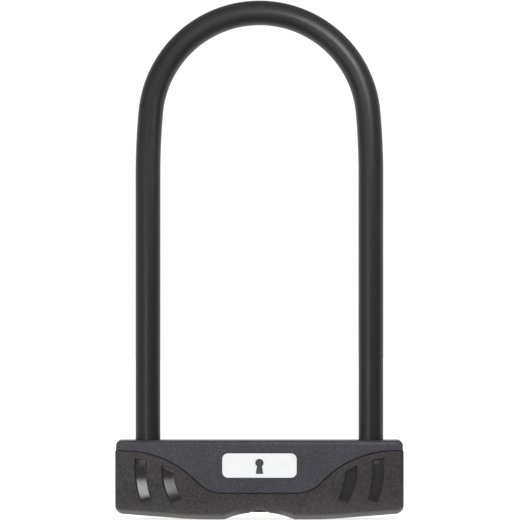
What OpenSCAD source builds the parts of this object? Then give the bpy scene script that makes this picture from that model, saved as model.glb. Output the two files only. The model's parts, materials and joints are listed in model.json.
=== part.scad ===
// U lock for bicycles: a coated U-shaped shackle whose two feet plug into a cross bar.
// The cross bar is a steel tube inside a two-part plastic cover. A key cylinder in its underside
// turns a cam, and the cam drives two bolts outwards into a notch in each foot.
// Millimetres. +Z runs up the legs, -Y is the front, and the origin is at the centre of the base.
// At rest the shackle is home and the bolts are drawn back.

/* [Shackle] */
// From the middle of the lock to the centre line of each leg
leg_x = 61.6; // [61:0.1:62]
// Radius of the hardened bar
bar_r = 6; // [5.8:0.1:6.2]
// Thickness of the plastic coat on the bar
coat_t = 0.9; // [0.4:0.1:1]
// Centre-line radius of the crown, less than leg_x so that the shackle tapers like a parabola
crown_r = 60.3; // [59.5:0.1:60.5]
// Height of the crown's centre
crown_z = 219.4; // [180:0.2:260]
// Centre-line radius of the long shoulders between crown and legs
shoulder_r = 384; // [300:1:450]
// Height of the lower end of each foot when the lock is closed
foot_z = 14; // [13.8:0.1:16]
// How deep the bolt notch cuts into each foot
notch_depth = 4.5; // [4.2:0.1:5]

/* [Cross bar] */
// Height of the cross bar's top face
body_top = 43.7; // [43.5:0.1:45]
// Half the width of the upper cover
hood_half_w = 79.05; // [79:0.05:80]
// Half the depth of the upper cover at its fullest
hood_half_d = 17.1; // [17:0.1:18]
// How far the lower cover stands proud of the upper one
tray_proud = 0.4; // [0.3:0.05:0.6]
// Height of the finger arch under the middle
arch_rise = 4.06; // [3:0.02:4.2]
// Height of the two-tone seam at the ends
seam_end_z = 38.2; // [37.5:0.1:39]
// Height of the two-tone seam in the middle
seam_mid_z = 14.9; // [14:0.1:16]
// Depth of the polished grip recesses
grip_depth = 0.7; // [0.4:0.1:0.9]

/* [Mechanism] */
// Radius at which the cam's pins sit
cam_pin_at = 4.45; // [4.2:0.05:4.5]
// Radius of the key cylinder's plug
plug_r = 5.6; // [5.5:0.1:5.6]

/* [Hidden] */
$fn = 64;
eps = 0.05;
past = 1; // how far a cutting shape runs past the face that it cuts

// Shackle
coat_r = bar_r + coat_t;
coat_bore_r = bar_r + 0.05;
coat_end_z = 41.35;
shoulder_a = acos((shoulder_r - leg_x) / (shoulder_r - crown_r));
leg_top_z = crown_z - (shoulder_r - crown_r) * sin(shoulder_a);
crown_thin = 0.03;

// Bolts, notches and cam
bolt_z = [29, 35];
bolt_half_y = 5;
notch_z = [bolt_z[0] - 0.5, bolt_z[1] + 0.5];
notch_floor_x = leg_x - bar_r + notch_depth;
bolt_travel = 2 * cam_pin_at * sin(45);
bolt_tip_x = notch_floor_x - 0.5 - bolt_travel;
bolt_heel_x = 24;
bolt_arm_y = [0.6, 8.2];
cam_pin_r = 1.5;
cam_pin_x = cam_pin_at * sin(45);
cam_slot_half = cam_pin_r + 0.25; // the pin's swing is not quite in step with the bolt
cam_slot_deep = 6.4;
cam_arm_end = cam_pin_x + cam_slot_half + 2.2;
cam_r = 6.4;
cam_z = [26.7, 28.7];

// Steel tube
tube_half_x = 76.4;
tube_half_y = 14;
tube_z = [7.5, 41.2];
tube_wall = 2.6;
tube_corner_r = 3;
tube_inner_r = 0.8;
tube_in_z = [tube_z[0] + tube_wall, tube_z[1] - tube_wall];
tube_in_y = tube_half_y - tube_wall;
fit_gap = 0.1;
guide_gap = 0.3; // clears the round corners inside the tube
end_plate_x = [tube_half_x - 2.8, tube_half_x - 0.2];
foot_guide_x = [53.9, 70.5];
bolt_guide_x = [34, 46];
leg_gap = 0.2;

// Section of the cross bar, seen from the end
belly_z = 20; // where the front is fullest
upper_belly_r = 150;
lower_belly_r = 50;
top_edge_r = 2.2;
base_edge_r = 2.2;
tray_half_d = hood_half_d + tray_proud;
hidden_foot_z = 2; // lower end and edge of the sections that stay inside the lower cover
hidden_edge_r = 2;
beyond_x = 85; // past the end faces of both covers

// Outline of the cross bar, seen from the front
tray_half_w = hood_half_w + tray_proud;
hood_corner_r = 2.75;
tray_corner_r = 4.7;
arch_r = 49;
lobe_edge_r = 2;
lobe_flat_x = 24;
lobe_bend_r = 270;
lobe_slope = 4.45; // degrees, of the underside towards the ends
seam_start_x = 74.75;
seam_stop_x = 20.7;
seam_gap = 0.15;
tongue_drop = 3; // how far the upper cover's tongue reaches down behind the seam
seam_upper_r = 56.3;
seam_run = seam_start_x - seam_stop_x;
seam_fall = seam_end_z - seam_mid_z;
seam_lower_r = (pow(seam_run, 2) + pow(seam_fall, 2)) / (2 * seam_fall) - seam_upper_r;
seam_a = 2 * atan(seam_fall / seam_run);

// Polished grips: bands between concentric arcs
grip_centre = [16.6, 28];
grip_bands = [[45.8, 52, 8.1], [30.7, 37.2, 6.8]]; // inner radius, outer radius, lower edge
grip_margin = 3.8;
grip_reach_x = [36, 74]; // the bands run between these distances from the middle

// Rubber seals round the legs
seal_r = 8.1;
seal_h = 1.85;
seal_lip = 0.6; // plastic left above each seal

// Key cylinder
housing_r = 9;
housing_nose_r = 5.95;
housing_z = [3.96, 7.6, 10, 26.5]; // nose end, shoulder, plug step, top
key_flute_r = 11.3;
key_flute_top = 5.24;
cross_pin_r = 1.25;
cross_pin_x = 8.8;
cross_pin_z = 18;
cam_tang_half = [4, 1.2]; // end of the plug that turns the cam
cam_screw_r = 0.8;
cam_head_r = 2.1;
cam_screw_z = [24.8, 27.75, 28.65]; // end, underside of the head, top
plug_nose_r = 4.5;
plug_z = [4.3, 10.1, 26.6];
keyway = [2.6, 7.4];
keyway_top = 24;
wafer_count = 6; // one node each
wafer_t = 1.1;
wafer_pitch = 1.6;
wafer_first_z = 14.2;
wafer_half_x = 2.5;
wafer_r = plug_r - 0.1;
wafer_ear_x = 3.9;
wafer_ear_y = [-1.2, 0.1];
wafer_window = [1.45, 3.4]; // half sizes of the hole for the key
spring_at = [3.25, -3.45]; // x of the wafer springs' axis, and y of their fixed end
spring_len = 2.1;
spring_coil_r = 0.36;
spring_wire_r = 0.1;
shutter_pivot = [-2.95, 6.1];
shutter_pin_r = 0.35;

// Badge
badge_size = [41, 13.4];
badge_corner_r = 3.2;
badge_z = 30;
badge_proud = 0.25;
badge_sink = 0.6;
badge_gap = 0.08;
badge_back_y = -10;

// ---------- helpers ----------

// Points on an arc about c, from angle a to angle b
function arc(c, r, a, b, steps = 12) =
    [for (i = [0:steps]) c + r * [cos(a + (b - a) * i / steps), sin(a + (b - a) * i / steps)]];

// A list of points, its mirror image across the second axis, and back to the start
function both_sides(half) =
    concat(half, [for (i = [len(half) - 1:-1:0]) [-half[i][0], half[i][1]]]);

// A rectangle with round corners: half sizes a and b about c
function round_rect(c, a, b, r) = concat(
    arc(c + [a - r, -b + r], r, -90, 0, 6), arc(c + [a - r, b - r], r, 0, 90, 6),
    arc(c + [-a + r, b - r], r, 90, 180, 6), arc(c + [-a + r, -b + r], r, 180, 270, 6));

// Extrudes an outline in X and Z through the depth from y0 to y1
module through_y(points, y0, y1) {
    translate([0, y1, 0]) rotate([90, 0, 0]) linear_extrude(y1 - y0) polygon(points);
}

// Extrudes an outline in Y and Z along the width from x0 to x1
module along_x(points, x0, x1) {
    translate([x0, 0, 0]) rotate([90, 0, 90]) linear_extrude(x1 - x0) polygon(points);
}

module box(lo, hi) {
    translate(lo) cube(hi - lo);
}

module mirrored_x() {
    children();
    mirror([1, 0, 0]) children();
}

module rod_y(x, z, r, half) {
    translate([x, half, z]) rotate([90, 0, 0]) cylinder(r = r, h = 2 * half);
}

// ---------- outlines of the cross bar ----------

// End section with a belly: half depth d at its fullest, between heights z0 and z1
function belly_section(d, z0, z1, base_r, top_r) =
    let (
        lower_c = [d - lower_belly_r, belly_z],
        upper_c = [d - upper_belly_r, belly_z],
        base_z = z0 + base_r,
        top_z = z1 - top_r,
        base_y = lower_c[0] + sqrt(pow(lower_belly_r - base_r, 2) - pow(belly_z - base_z, 2)),
        top_y = upper_c[0] + sqrt(pow(upper_belly_r - top_r, 2) - pow(top_z - belly_z, 2)),
        base_a = atan2(base_z - belly_z, base_y - lower_c[0]),
        top_a = atan2(top_z - belly_z, top_y - upper_c[0])
    )
    both_sides(concat(
        arc([base_y, base_z], base_r, -90, base_a, 5),
        arc(lower_c, lower_belly_r, base_a, 0, 7),
        arc(upper_c, upper_belly_r, 0, top_a, 5),
        arc([top_y, top_z], top_r, top_a, 90, 6)));

// Right half of the seam, from the end face to the middle, moved down by drop
function seam_half(end_x, drop) = concat(
    [[end_x, seam_end_z - drop]],
    arc([seam_start_x, seam_end_z - seam_upper_r - drop], seam_upper_r, 90, 90 + seam_a, 16),
    arc([seam_stop_x, seam_mid_z + seam_lower_r - drop], seam_lower_r, 270 + seam_a, 270, 8));

// The same curve moved square to itself by m, for the upper edge of the grips
function grip_top_half(m) = concat(
    [[tray_half_w, seam_end_z - m]],
    arc([seam_start_x, seam_end_z - seam_upper_r], seam_upper_r - m, 90, 90 + seam_a, 16),
    arc([seam_stop_x, seam_mid_z + seam_lower_r], seam_lower_r + m, 270 + seam_a, 270, 8));

// Underside of the lower cover, right half, from the arch to the end face
function underside_half() =
    let (
        arch_c = [0, arch_rise - arch_r],
        lobe_c = [sqrt(pow(arch_r + lobe_edge_r, 2) - pow(lobe_edge_r - arch_c[1], 2)), lobe_edge_r],
        lobe_a = atan2(lobe_c[1] - arch_c[1], lobe_c[0]),
        bend_c = [lobe_flat_x, lobe_bend_r],
        bend_end = bend_c + lobe_bend_r * [sin(lobe_slope), -cos(lobe_slope)],
        corner_x = tray_half_w - tray_corner_r,
        corner_z = bend_end[1] + (corner_x - bend_end[0]) * tan(lobe_slope)
                 + tray_corner_r / cos(lobe_slope)
    )
    concat(
        arc(arch_c, arch_r, 90, lobe_a, 10),
        arc(lobe_c, lobe_edge_r, 180 + lobe_a, 270, 5),
        arc(bend_c, lobe_bend_r, 270, 270 + lobe_slope, 6),
        arc([corner_x, corner_z], tray_corner_r, 270 + lobe_slope, 360, 8));

// Region above the seam, inside a rectangle with round upper corners
function hood_outline(half_w, top, r, drop) = both_sides(concat(
    arc([half_w - r, top - r], r, 90, 0, 8), seam_half(half_w, drop)));

function tray_outline() = both_sides(concat(
    underside_half(), seam_half(tray_half_w, seam_gap)));

// ---------- shackle ----------

// The shackle's bent bar as a tube of radius r, with the legs ending at height end_z.
// The crown is a hair thinner than the shoulders and runs a little way into them, so that they fuse.
module shackle_tube(r, end_z) {
    lap_a = 0.2;
    start_a = shoulder_a - lap_a;
    translate([0, 0, crown_z]) rotate([90, 0, 0]) rotate([0, 0, start_a])
        rotate_extrude(angle = 180 - 2 * start_a) translate([crown_r, 0]) circle(r = r - crown_thin);
    mirrored_x() {
        translate([leg_x - shoulder_r, 0, leg_top_z]) rotate([90, 0, 0])
            rotate_extrude(angle = shoulder_a) translate([shoulder_r, 0]) circle(r = r);
        translate([leg_x, 0, end_z]) cylinder(r = r, h = leg_top_z - end_z);
    }
}

module shackle_bar() {
    foot_chamfer = 1.4;
    color("dimgray") difference() {
        union() {
            shackle_tube(bar_r, foot_z + foot_chamfer);
            mirrored_x() translate([leg_x, 0, foot_z])
                cylinder(r1 = bar_r - foot_chamfer, r2 = bar_r, h = foot_chamfer);
        }
        mirrored_x() box([leg_x - bar_r - past, -bar_r - past, notch_z[0]],
                         [notch_floor_x, bar_r + past, notch_z[1]]);
    }
}

module shackle_sleeve() {
    color([0.17, 0.16, 0.17]) difference() {
        shackle_tube(coat_r, coat_end_z);
        shackle_tube(coat_bore_r, coat_end_z - past);
    }
}

// ---------- steel tube ----------

module case_tube() {
    mid = (tube_z[0] + tube_z[1]) / 2;
    half_z = (tube_z[1] - tube_z[0]) / 2;
    color("silver") difference() {
        along_x(round_rect([0, mid], tube_half_y, half_z, tube_corner_r), -tube_half_x, tube_half_x);
        along_x(round_rect([0, mid], tube_in_y, half_z - tube_wall, tube_inner_r),
                -tube_half_x - past, tube_half_x + past);
        mirrored_x() translate([leg_x, 0, tube_in_z[1] - past])
            cylinder(r = bar_r + leg_gap, h = tube_wall + 2 * past);
        translate([0, 0, tube_z[0] - past])
            cylinder(r = housing_r + fit_gap, h = tube_wall + 2 * past);
        mirrored_x() rod_y(cross_pin_x, cross_pin_z, cross_pin_r + eps, tube_half_y + past);
    }
}

module end_plate() {
    corner_r = 1;
    mid = (tube_in_z[0] + tube_in_z[1]) / 2;
    half_z = (tube_in_z[1] - tube_in_z[0]) / 2 - fit_gap;
    color("gray") along_x(round_rect([0, mid], tube_in_y - fit_gap, half_z, corner_r),
                          end_plate_x[0], end_plate_x[1]);
}

// ---------- plastic covers ----------

// Room for the tube inside the covers
module tube_room() {
    g = fit_gap;
    box([-tube_half_x - g, -tube_half_y - g, tube_z[0] - g],
        [tube_half_x + g, tube_half_y + g, tube_z[1] + eps]);
}

module upper_cover() {
    tongue_in = 1.3; // how far the tongue steps in behind the lower cover
    leg_hole_r = coat_r + 0.35;
    color([0.28, 0.28, 0.31]) difference() {
        union() {
            intersection() {
                through_y(hood_outline(hood_half_w, body_top, hood_corner_r, 0),
                          -hood_half_d - past, hood_half_d + past);
                along_x(belly_section(hood_half_d, hidden_foot_z, body_top, hidden_edge_r, top_edge_r),
                        -beyond_x, beyond_x);
            }
            intersection() {
                through_y(hood_outline(hood_half_w - tongue_in, body_top - 2 * past, hidden_edge_r,
                                       tongue_drop), -hood_half_d, hood_half_d);
                along_x(belly_section(hood_half_d - tongue_in, hidden_foot_z, body_top - past,
                                      hidden_edge_r, top_edge_r), -beyond_x, beyond_x);
            }
        }
        tube_room();
        mirrored_x() translate([leg_x, 0, 0]) {
            cylinder(r = leg_hole_r, h = body_top + past);
            cylinder(r = seal_r + fit_gap, h = body_top - seal_lip);
        }
        badge_room();
    }
}

// Ring-shaped bands of the four grips on one face, cut to grip_depth below the skin
module grip_recesses() {
    for (side = [-1, 1], face = [-1, 1], band = grip_bands)
        difference() {
            intersection() {
                difference() {
                    rod_y(side * grip_centre[0], grip_centre[1], band[1], tray_half_d + past);
                    rod_y(side * grip_centre[0], grip_centre[1], band[0], tray_half_d + 2 * past);
                }
                through_y([[side * grip_reach_x[0], band[2]], [side * grip_reach_x[1], band[2]],
                           for (p = grip_top_half(grip_margin))
                               if (p[0] > grip_reach_x[0] - 2 * past) [side * p[0], p[1]]],
                          min(0, face * (tray_half_d + past)), max(0, face * (tray_half_d + past)));
            }
            along_x(belly_section(tray_half_d - grip_depth, hidden_foot_z, body_top,
                                  hidden_edge_r, hidden_edge_r), -beyond_x, beyond_x);
        }
}

module lower_cover() {
    tongue_room = 1.15; // thickness that the lower cover keeps outside the tongue
    pocket_x = [27, 41, 55];
    pocket_size = [12, 22];
    pocket_floor_z = 4.6;
    color([0.15, 0.14, 0.14]) difference() {
        intersection() {
            through_y(tray_outline(), -tray_half_d - past, tray_half_d + past);
            along_x(belly_section(tray_half_d, 0, body_top + 2 * past, base_edge_r, top_edge_r),
                    -beyond_x, beyond_x);
        }
        tube_room();
        intersection() {
            through_y(hood_outline(tray_half_w - tongue_room, body_top, hidden_edge_r,
                                   tongue_drop + 2 * fit_gap), -hood_half_d - past, hood_half_d + past);
            along_x(belly_section(tray_half_d - tongue_room, hidden_foot_z, body_top + past,
                                  hidden_edge_r, hidden_edge_r), -beyond_x, beyond_x);
        }
        grip_recesses();
        // hollows in the two lobes, with ribs between them that carry the tube
        mirrored_x() for (x = pocket_x)
            box([x, -pocket_size[1] / 2, pocket_floor_z],
                [x + pocket_size[0], pocket_size[1] / 2, tube_z[0] + past]);
        translate([0, 0, -past]) cylinder(r = housing_nose_r + 0.15, h = tube_z[0] + 2 * past);
        rod_y(0, key_flute_top - key_flute_r, key_flute_r, tray_half_d + past);
    }
}

// A curved plate let into the front of the upper cover
module badge_plate(grow, proud, sink) {
    intersection() {
        through_y(round_rect([0, badge_z], badge_size[0] / 2 + grow, badge_size[1] / 2 + grow,
                             badge_corner_r + grow), -tray_half_d - past, badge_back_y);
        difference() {
            along_x(belly_section(hood_half_d + proud, hidden_foot_z, body_top + 2 * past,
                                  hidden_edge_r, hidden_edge_r), -badge_size[0], badge_size[0]);
            along_x(belly_section(hood_half_d - sink, hidden_foot_z, body_top + 3 * past,
                                  hidden_edge_r, hidden_edge_r), -beyond_x, beyond_x);
        }
    }
}

module badge() {
    color([0.9, 0.9, 0.92]) badge_plate(0, badge_proud, badge_sink - eps);
}

module badge_room() {
    badge_plate(badge_gap, badge_proud + past, badge_sink);
}

module shackle_seal() {
    color([0.1, 0.1, 0.1]) translate([leg_x, 0, tube_z[1] + eps]) difference() {
        cylinder(r = seal_r, h = seal_h);
        translate([0, 0, -past]) cylinder(r = coat_r + eps, h = seal_h + 2 * past);
    }
}

// ---------- guides inside the tube ----------

module foot_guide() {
    bore_r = bar_r + 0.15;
    window_half_y = bolt_half_y + 0.3;
    color("ivory") difference() {
        box([foot_guide_x[0], -tube_in_y + guide_gap, tube_in_z[0] + guide_gap],
            [foot_guide_x[1], tube_in_y - guide_gap, tube_in_z[1] - guide_gap]);
        translate([leg_x, 0, foot_z - leg_gap]) cylinder(r = bore_r, h = body_top);
        box([foot_guide_x[0] - past, -window_half_y, notch_z[0] - leg_gap],
            [leg_x, window_half_y, notch_z[1] + leg_gap]);
    }
}

module bolt_guide() {
    g = fit_gap;
    hole_r = 6.5;
    hole_z = 19.2;
    x0 = bolt_guide_x[0];
    x1 = bolt_guide_x[1];
    color("darkgray") difference() {
        box([x0, -tube_in_y + guide_gap, tube_in_z[0] + guide_gap],
            [x1, tube_in_y - guide_gap, tube_in_z[1] - guide_gap]);
        box([x0 - past, -bolt_half_y - g, bolt_z[0] - g], [x1 + past, bolt_half_y + g, bolt_z[1] + g]);
        translate([x0 - past, 0, hole_z]) rotate([0, 90, 0])
            cylinder(r = hole_r, h = x1 - x0 + 2 * past);
    }
}

// ---------- bolts and cam ----------

// The right bolt, with its fork in front of the cylinder's axis
module bolt() {
    chamfer = 1;
    tip = bolt_tip_x;
    hy = bolt_half_y;
    color("steelblue") difference() {
        union() {
            translate([0, 0, bolt_z[0]]) linear_extrude(bolt_z[1] - bolt_z[0]) polygon([
                [bolt_heel_x, -hy], [tip - chamfer, -hy], [tip, -hy + chamfer],
                [tip, hy - chamfer], [tip - chamfer, hy], [bolt_heel_x, hy]]);
            box([-cam_arm_end, -bolt_arm_y[1], bolt_z[0]],
                [bolt_heel_x + 2 * past, -bolt_arm_y[0], bolt_z[1]]);
        }
        box([-cam_pin_x - cam_slot_half, -cam_slot_deep, bolt_z[0] - past],
            [-cam_pin_x + cam_slot_half, 0, bolt_z[1] + past]);
    }
}

module bolt_cam() {
    tang_x = cam_tang_half[0] + eps;
    tang_y = cam_tang_half[1] + eps;
    tang_top = cam_screw_z[1] - 0.1;
    head_room_z = cam_screw_z[1] - eps;
    pin_top = bolt_z[1] - 0.5;
    color("goldenrod") {
        difference() {
            translate([0, 0, cam_z[0]]) cylinder(r = cam_r, h = cam_z[1] - cam_z[0]);
            box([-tang_x, -tang_y, cam_z[0] - past], [tang_x, tang_y, tang_top]);
            translate([0, 0, tang_top - eps]) cylinder(r = cam_screw_r + 0.3, h = 2 * past);
            translate([0, 0, head_room_z]) cylinder(r = cam_head_r + 0.2, h = 2 * past);
        }
        for (turn = [0, 180]) rotate([0, 0, turn])
            translate([-cam_pin_x, -cam_pin_x, cam_z[1]])
                cylinder(r = cam_pin_r, h = pin_top - cam_z[1]);
    }
}

module cam_screw() {
    socket_r = 0.9;
    socket_z = 28.1;
    color("silver") difference() {
        union() {
            translate([0, 0, cam_screw_z[1]]) cylinder(r = cam_head_r, h = cam_screw_z[2] - cam_screw_z[1]);
            translate([0, 0, cam_screw_z[0]])
                cylinder(r = cam_screw_r, h = cam_screw_z[1] + eps - cam_screw_z[0]);
        }
        translate([0, 0, socket_z]) cylinder(r = socket_r, h = 2 * past, $fn = 6);
    }
}

// ---------- key cylinder ----------

module cylinder_housing() {
    groove_z = [wafer_first_z - 0.3, wafer_first_z + wafer_count * wafer_pitch];
    groove_half_x = wafer_half_x + 0.25;
    groove_half_y = 6.7;
    color([0.3, 0.3, 0.3]) difference() {
        union() {
            translate([0, 0, housing_z[1]]) cylinder(r = housing_r, h = housing_z[3] - housing_z[1]);
            translate([0, 0, housing_z[0]]) cylinder(r = housing_nose_r, h = housing_z[1] - housing_z[0]);
        }
        translate([0, 0, housing_z[0] - past])
            cylinder(r = plug_nose_r + fit_gap, h = housing_z[2] - housing_z[0] + 2 * past);
        translate([0, 0, housing_z[2]]) cylinder(r = plug_r + eps, h = housing_z[3] - housing_z[2] + past);
        for (turn = [0, 90]) rotate([0, 0, turn])
            box([-groove_half_x, -groove_half_y, groove_z[0]], [groove_half_x, groove_half_y, groove_z[1]]);
        mirrored_x() rod_y(cross_pin_x, cross_pin_z, cross_pin_r + eps, housing_r + past);
    }
}

module cylinder_pins() {
    color("silver") mirrored_x() rod_y(cross_pin_x, cross_pin_z, cross_pin_r, tube_half_y - fit_gap);
}

function wafer_z(i) = wafer_first_z + i * wafer_pitch;

module plug() {
    g = eps;
    ear_room_y = 0.9;
    tang = cam_tang_half;
    color("gold") difference() {
        union() {
            translate([0, 0, plug_z[0]]) cylinder(r = plug_nose_r, h = plug_z[1] - plug_z[0]);
            translate([0, 0, plug_z[1]]) cylinder(r = plug_r, h = plug_z[2] - plug_z[1]);
            box([-tang[0], -tang[1], plug_z[2] - past], [tang[0], tang[1], plug_z[2] + 1]);
        }
        box([-keyway[0] / 2, -keyway[1] / 2, plug_z[0] - past],
            [keyway[0] / 2, keyway[1] / 2, keyway_top]);
        for (i = [0:wafer_count - 1]) {
            box([-wafer_half_x - g, -plug_r - past, wafer_z(i) - g],
                [wafer_half_x + g, plug_r + past, wafer_z(i) + wafer_t + g]);
            box([0, spring_at[1] - g, wafer_z(i) - g],
                [wafer_ear_x + g, ear_room_y, wafer_z(i) + wafer_t + g]);
        }
        translate([0, 0, cam_screw_z[0] - fit_gap]) cylinder(r = cam_screw_r + g, h = plug_z[2]);
        translate([-plug_nose_r, shutter_pivot[0], shutter_pivot[1]]) rotate([0, 90, 0])
            cylinder(r = shutter_pin_r + g, h = 2 * plug_nose_r);
    }
}

// Wafer i, with its key window set a little higher or lower than its neighbours'
module wafer(i) {
    shift = [0.3, -0.2, 0.1, -0.3, 0.2, 0][i];
    z = wafer_z(i);
    color("khaki") difference() {
        union() {
            intersection() {
                translate([0, 0, z]) cylinder(r = wafer_r, h = wafer_t);
                box([-wafer_half_x, -plug_r, z - past], [wafer_half_x, plug_r, z + wafer_t + past]);
            }
            box([1, wafer_ear_y[0], z], [wafer_ear_x, wafer_ear_y[1], z + wafer_t]);
        }
        box([-wafer_window[0], shift - wafer_window[1], z - past],
            [wafer_window[0], shift + wafer_window[1], z + wafer_t + past]);
    }
}

// A coil of square-ish wire along +Y, swept as one closed solid
module coil_spring(len, coil_r, wire_r, turns) {
    sides = 6;
    per_turn = 9;
    rings = turns * per_turn;
    rise = len / turns;
    points = [for (k = [0:rings], j = [0:sides - 1])
        let (a = 360 * k / per_turn, b = 360 * j / sides, r = coil_r + wire_r * cos(b))
        [r * cos(a), rise * k / per_turn + wire_r * sin(b), r * sin(a)]];
    walls = [for (k = [0:rings - 1], j = [0:sides - 1])
        let (n = (j + 1) % sides)
        [k * sides + j, k * sides + n, (k + 1) * sides + n, (k + 1) * sides + j]];
    caps = [[for (j = [sides - 1:-1:0]) j], [for (j = [0:sides - 1]) rings * sides + j]];
    polyhedron(points, concat(walls, caps), convexity = 6);
}

module wafer_springs() {
    color("silver") for (i = [0:wafer_count - 1])
        translate([spring_at[0], spring_at[1] + spring_wire_r, wafer_z(i) + wafer_t / 2])
            coil_spring(spring_len - 2 * spring_wire_r, spring_coil_r, spring_wire_r, 3);
}

module keyway_shutter() {
    half_x = keyway[0] / 2 - fit_gap;
    flap_z = [-1, -0.4]; // below the pivot
    barrel_r = 0.62;
    spring_side = 0.3; // the pivot spring sits between here and the keyway's wall
    py = shutter_pivot[0];
    pz = shutter_pivot[1];
    color("silver") difference() {
        union() {
            box([-half_x, py - 0.15, pz + flap_z[0]], [half_x, keyway[1] / 2 - 0.2, pz + flap_z[1]]);
            translate([-half_x, py, pz]) rotate([0, 90, 0]) cylinder(r = barrel_r, h = 2 * half_x);
        }
        translate([-keyway[0], py, pz]) rotate([0, 90, 0])
            cylinder(r = shutter_pin_r + eps, h = 2 * keyway[0]);
        box([spring_side, py - past, pz - 2], [keyway[0], py + 0.8, pz + 2]);
    }
}

module shutter_pin() {
    half_len = 3.1;
    color("silver") translate([-half_len, shutter_pivot[0], shutter_pivot[1]]) rotate([0, 90, 0])
        cylinder(r = shutter_pin_r, h = 2 * half_len);
}

module shutter_spring() {
    coil_r = 0.51;
    wire_r = 0.11;
    color("gray") for (x = [0.5, 0.78, 1.06])
        translate([x, shutter_pivot[0], shutter_pivot[1]]) rotate([0, 90, 0])
            rotate_extrude() translate([coil_r, 0]) circle(r = wire_r);
}

// ---------- nodes ----------

shackle_bar();
shackle_sleeve();
case_tube();
mirror([1, 0, 0]) end_plate();  // end_plate_left
end_plate();  // end_plate_right
upper_cover();
lower_cover();
badge();
mirror([1, 0, 0]) shackle_seal();  // shackle_seal_left
shackle_seal();  // shackle_seal_right
mirror([1, 0, 0]) foot_guide();  // foot_guide_left
foot_guide();  // foot_guide_right
mirror([1, 0, 0]) bolt_guide();  // bolt_guide_left
bolt_guide();  // bolt_guide_right
rotate([0, 0, 180]) bolt();  // bolt_left
bolt();  // bolt_right
cylinder_housing();
cylinder_pins();
plug();
bolt_cam();
cam_screw();
wafer(0);  // wafer_1
wafer(1);  // wafer_2
wafer(2);  // wafer_3
wafer(3);  // wafer_4
wafer(4);  // wafer_5
wafer(5);  // wafer_6
wafer_springs();
keyway_shutter();
shutter_pin();
shutter_spring();
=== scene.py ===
import json
import math

import bmesh
import bpy
import numpy as np
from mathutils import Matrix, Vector
from mathutils.geometry import delaunay_2d_cdt


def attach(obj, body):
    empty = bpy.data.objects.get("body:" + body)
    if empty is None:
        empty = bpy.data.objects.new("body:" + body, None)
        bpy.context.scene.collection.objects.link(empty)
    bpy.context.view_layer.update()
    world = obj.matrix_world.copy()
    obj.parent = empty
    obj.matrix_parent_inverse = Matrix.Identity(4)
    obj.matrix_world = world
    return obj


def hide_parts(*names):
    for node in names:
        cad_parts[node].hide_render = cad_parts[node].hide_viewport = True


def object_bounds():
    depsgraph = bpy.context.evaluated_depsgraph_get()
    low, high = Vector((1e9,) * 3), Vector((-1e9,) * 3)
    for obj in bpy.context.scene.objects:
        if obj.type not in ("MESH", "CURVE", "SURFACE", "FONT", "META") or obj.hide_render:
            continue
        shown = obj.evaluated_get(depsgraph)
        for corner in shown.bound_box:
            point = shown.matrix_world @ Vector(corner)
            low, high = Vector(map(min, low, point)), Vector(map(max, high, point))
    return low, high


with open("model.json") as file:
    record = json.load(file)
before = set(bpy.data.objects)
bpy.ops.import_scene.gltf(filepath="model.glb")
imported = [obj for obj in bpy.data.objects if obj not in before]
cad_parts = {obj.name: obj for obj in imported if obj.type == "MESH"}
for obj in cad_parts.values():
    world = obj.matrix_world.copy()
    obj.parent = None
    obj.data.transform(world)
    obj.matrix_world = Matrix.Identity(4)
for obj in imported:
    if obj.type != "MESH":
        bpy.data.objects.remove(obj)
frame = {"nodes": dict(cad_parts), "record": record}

CAD_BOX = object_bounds()
MM = 0.001

# ---------------------------------------------------------------- sizes, in millimetres
# shackle: the leg's axis, the coat, the crown's arc and the wide arc that leads into it
LEG_X, COAT_R, COAT_BORE = 61.6, 6.9, 6.05
CROWN_R, CROWN_Z, CROWN_THIN = 60.3, 219.4, 0.03
SHOULDER_R = 384.0
COAT_END_Z = 41.35
COAT_END_CUT = (0.22, 0.07)  # how far the coat's last two rings fall back

# covers: half widths, half depths, corners and the belly of the front
TOP_Z = 43.7
HOOD_W, HOOD_D = 79.05, 17.1
TRAY_W, TRAY_D = 79.45, 17.5
HOOD_CORNER, TRAY_CORNER = 2.75, 4.7
BELLY_Z, BELLY_UP_R, BELLY_DOWN_R = 20.0, 150.0, 50.0
TOP_EDGE, BASE_EDGE, END_EDGE = 2.2, 3.0, 1.3
# the finger arch in the underside, with the flute for the key in its middle
ARCH_RISE, ARCH_R, LOBE_R, LOBE_X, BEND_R, SLOPE = 4.06, 49.0, 2.0, 24.0, 270.0, 4.45
FLUTE_R, FLUTE_TOP, FLUTE_X = 11.3, 5.24, 5.89
# the S-shaped seam between the covers
SEAM_END, SEAM_MID, SEAM_X0, SEAM_X1, SEAM_R = 38.2, 14.9, 74.75, 20.7, 56.3
SEAM_GAP, SEAM_EDGE = 0.40, 0.30
# the room inside the covers: half width, half depth, floor of the tray, roof of the hood
ROOM_X, ROOM_Y, ROOM_FLOOR, ROOM_ROOF = 76.5, 14.1, 7.4, 41.25
CYLINDER_HOLE_R = 6.1
LEG_HOLE_GAP = 0.35
LEG_HOLE_FLARE = ((0, -0.45), (0.07, -0.24), (0.25, -0.07), (0.5, 0.01))  # outwards, above TOP_Z
# grips: the centre of their arcs, then inner radius, outer radius and lower end of each
GRIP_AT = (16.6, 28.0)
GRIPS = ((45.8, 52.0, 8.1), (30.7, 37.2, 6.8))
GRIP_MARGIN = 3.8
GRIP_FLOOR_R, GRIP_FLOOR_Z, GRIP_SINK, GRIP_TILT = 150.0, 7.75, 1.3, 0.085
GRIP_LEAST, GRIP_MOST = 0.42, 2.9
# badge: half width, half height, corner, height of its middle
BADGE = (20.5, 6.7, 3.2, 30.0)
BADGE_PROUD, BADGE_SINK, BADGE_EDGE = 0.24, 0.5, 0.3
BADGE_GAP, BADGE_POCKET = 0.14, 0.55
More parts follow.
